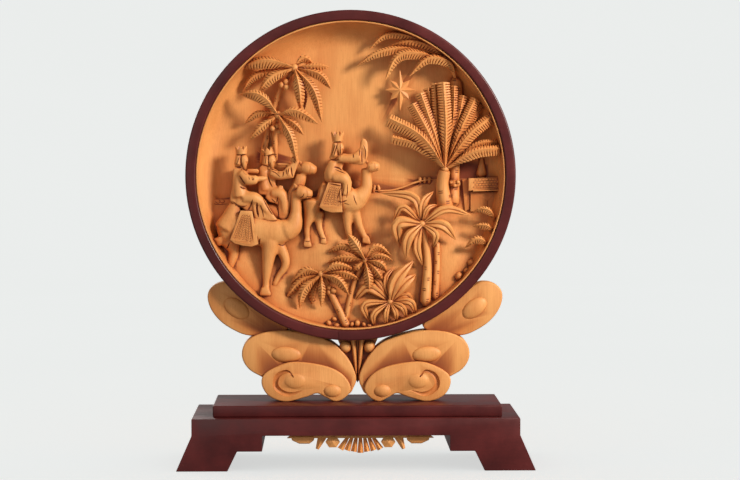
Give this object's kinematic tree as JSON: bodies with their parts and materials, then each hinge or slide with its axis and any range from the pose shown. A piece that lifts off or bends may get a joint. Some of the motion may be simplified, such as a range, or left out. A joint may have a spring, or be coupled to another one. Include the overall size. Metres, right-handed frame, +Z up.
{
  "type": "carved relief panel",
  "caption": "Round deep-carved boxwood relief of camel riders among palms, in a lacquered hoop on a carved cloud bracket and a low footed stand.",
  "frame": {"origin": "on the floor under the middle of the stand", "axes": "+Z up, the carved face towards -Y, +X to the right as seen from the front"},
  "size_m": [0.3224, 0.108, 0.4136],
  "materials": {
    "hoop_lacquer": "semi-gloss lacquer",
    "panel_boxwood": "oiled, darker in the hollows",
    "bracket_boxwood": "oiled, darker in the hollows",
    "plinth_lacquer": "semi-gloss lacquer",
    "stand_lacquer": "semi-gloss lacquer",
    "apron_boxwood": "oiled"
  },
  "bodies": {
    "root": {"frame_ring": "hoop_lacquer", "carved_panel": "panel_boxwood", "cloud_bracket": "bracket_boxwood", "plinth_board": "plinth_lacquer", "stand_base": "stand_lacquer", "carved_apron": "apron_boxwood"}
  },
  "joints": []
}
